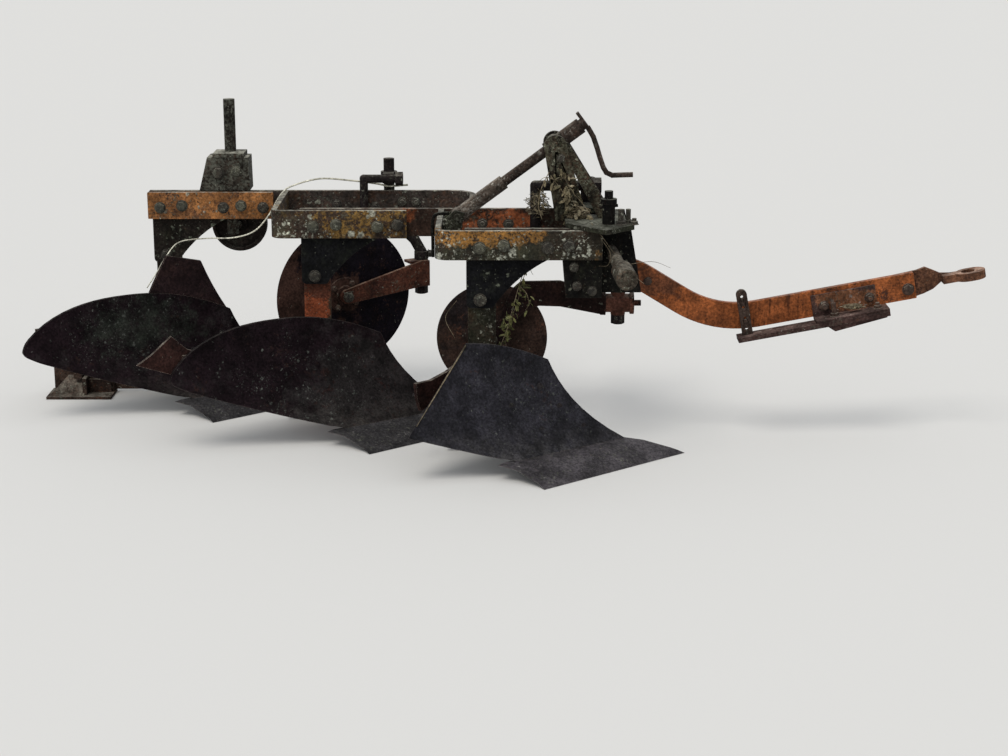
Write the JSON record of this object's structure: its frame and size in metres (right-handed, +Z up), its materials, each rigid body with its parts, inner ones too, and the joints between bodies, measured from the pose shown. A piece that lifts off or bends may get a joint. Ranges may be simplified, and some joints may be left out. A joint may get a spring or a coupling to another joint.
{
  "type": "moldboard plough",
  "caption": "Trailed and linkage-hung right-hand moldboard plough with staggered bottoms, disc coulters, depth wheel, crank screw and gooseneck drawbar, weathered",
  "frame": {"origin": "middle of the footprint on the ground that the landsides and shares stand on", "axes": "+X the way the plough is drawn, +Y its left side, +Z up; the moldboards throw to -Y"},
  "size_m": [2.8714, 1.1538, 0.9647],
  "materials": {
    "orange_paint": "old yellow-orange paint, worn, with lichen and rust showing through",
    "red_lead": "dark red-orange primer and rust on the far bars and frogs",
    "dark_steel": "dark weathered steel with greenish grime",
    "rusted_steel": "even brown rust",
    "soil_steel": "plough steel gone dark brown-purple, with pale specks",
    "bright_steel": "worn running faces"
  },
  "bodies": {
    "frame": {"beam_front_near": "orange_paint", "beam_front_far": "orange_paint", "beam_mid_near": "orange_paint", "beam_mid_far": "red_lead", "beam_rear_near": "orange_paint", "beam_rear_far": "red_lead", "beam_spacers": "dark_steel", "hanger_plate": "dark_steel", "shank_front": "dark_steel", "shank_mid": "dark_steel", "shank_rear": "dark_steel", "frog_front": "red_lead", "frog_mid": "red_lead", "frog_rear": "red_lead", "moldboard_front": "soil_steel", "moldboard_mid": "soil_steel", "moldboard_rear": "soil_steel", "share_front": "soil_steel", "share_mid": "soil_steel", "share_rear": "soil_steel", "landside_front": "rusted_steel", "landside_mid": "rusted_steel", "landside_rear": "rusted_steel", "heel_shoe": "rusted_steel", "trash_board": "rusted_steel", "stay_front": "rusted_steel", "stay_mid": "rusted_steel", "stay_rear": "rusted_steel", "cheek_near": "dark_steel", "cheek_far": "dark_steel", "headstock_bars": "dark_steel", "headstock_top": "dark_steel", "mast_near": "dark_steel", "mast_far": "dark_steel", "mast_braces": "dark_steel", "adjusting_tube": "rusted_steel", "adjusting_rod": "bright_steel", "trunnion": "rusted_steel", "tube_bracket": "dark_steel", "headstock_pin": "dark_steel", "link_pin_near": "dark_steel", "link_pin_far": "dark_steel", "drawbar": "orange_paint", "drawbar_cheeks": "dark_steel", "towing_eye": "rusted_steel", "drawbar_angle": "rusted_steel", "drawbar_strap": "dark_steel", "coulter_clamps": "dark_steel", "coulter_stem_mid": "dark_steel", "coulter_stem_rear": "dark_steel", "wheel_bracket": "dark_steel", "wheel_spindle": "dark_steel"},
    "coulter_mid": {"coulter_arm_mid": "rusted_steel"},
    "disc_mid": {"coulter_disc_mid": "rusted_steel"},
    "coulter_rear": {"coulter_arm_rear": "rusted_steel"},
    "disc_rear": {"coulter_disc_rear": "rusted_steel"},
    "wheel": {"depth_wheel": "dark_steel"},
    "crank": {"crank_handle": "rusted_steel"}
  },
  "joints": [
    {"name": "coulter_mid_swivel", "type": "hinge", "parent": "frame", "child": "coulter_mid", "pos_m": [0.371, 0.16287, 0.358], "axis": [0, 0, 1], "range_deg": [-20, 20]},
    {"name": "disc_mid_spin", "type": "hinge", "parent": "coulter_mid", "child": "disc_mid", "pos_m": [-0.013, 0.16287, 0.25], "axis": [0, 1, 0], "continuous": true},
    {"name": "coulter_rear_swivel", "type": "hinge", "parent": "frame", "child": "coulter_rear", "pos_m": [-0.241, 0.49287, 0.387], "axis": [0, 0, 1], "range_deg": [-43, 12]},
    {"name": "disc_rear_spin", "type": "hinge", "parent": "coulter_rear", "child": "disc_rear", "pos_m": [-0.48028, 0.36565, 0.338], "axis": [-0.4695, 0.8829, 0], "continuous": true},
    {"name": "depth_wheel_spin", "type": "hinge", "parent": "frame", "child": "wheel", "pos_m": [-0.824, 0.54287, 0.535], "axis": [0, 1, 0], "continuous": true},
    {"name": "crank_turn", "type": "hinge", "parent": "frame", "child": "crank", "pos_m": [0.25149, -0.03913, 0.93034], "axis": [0.8049, 0, 0.5934], "continuous": true}
  ]
}
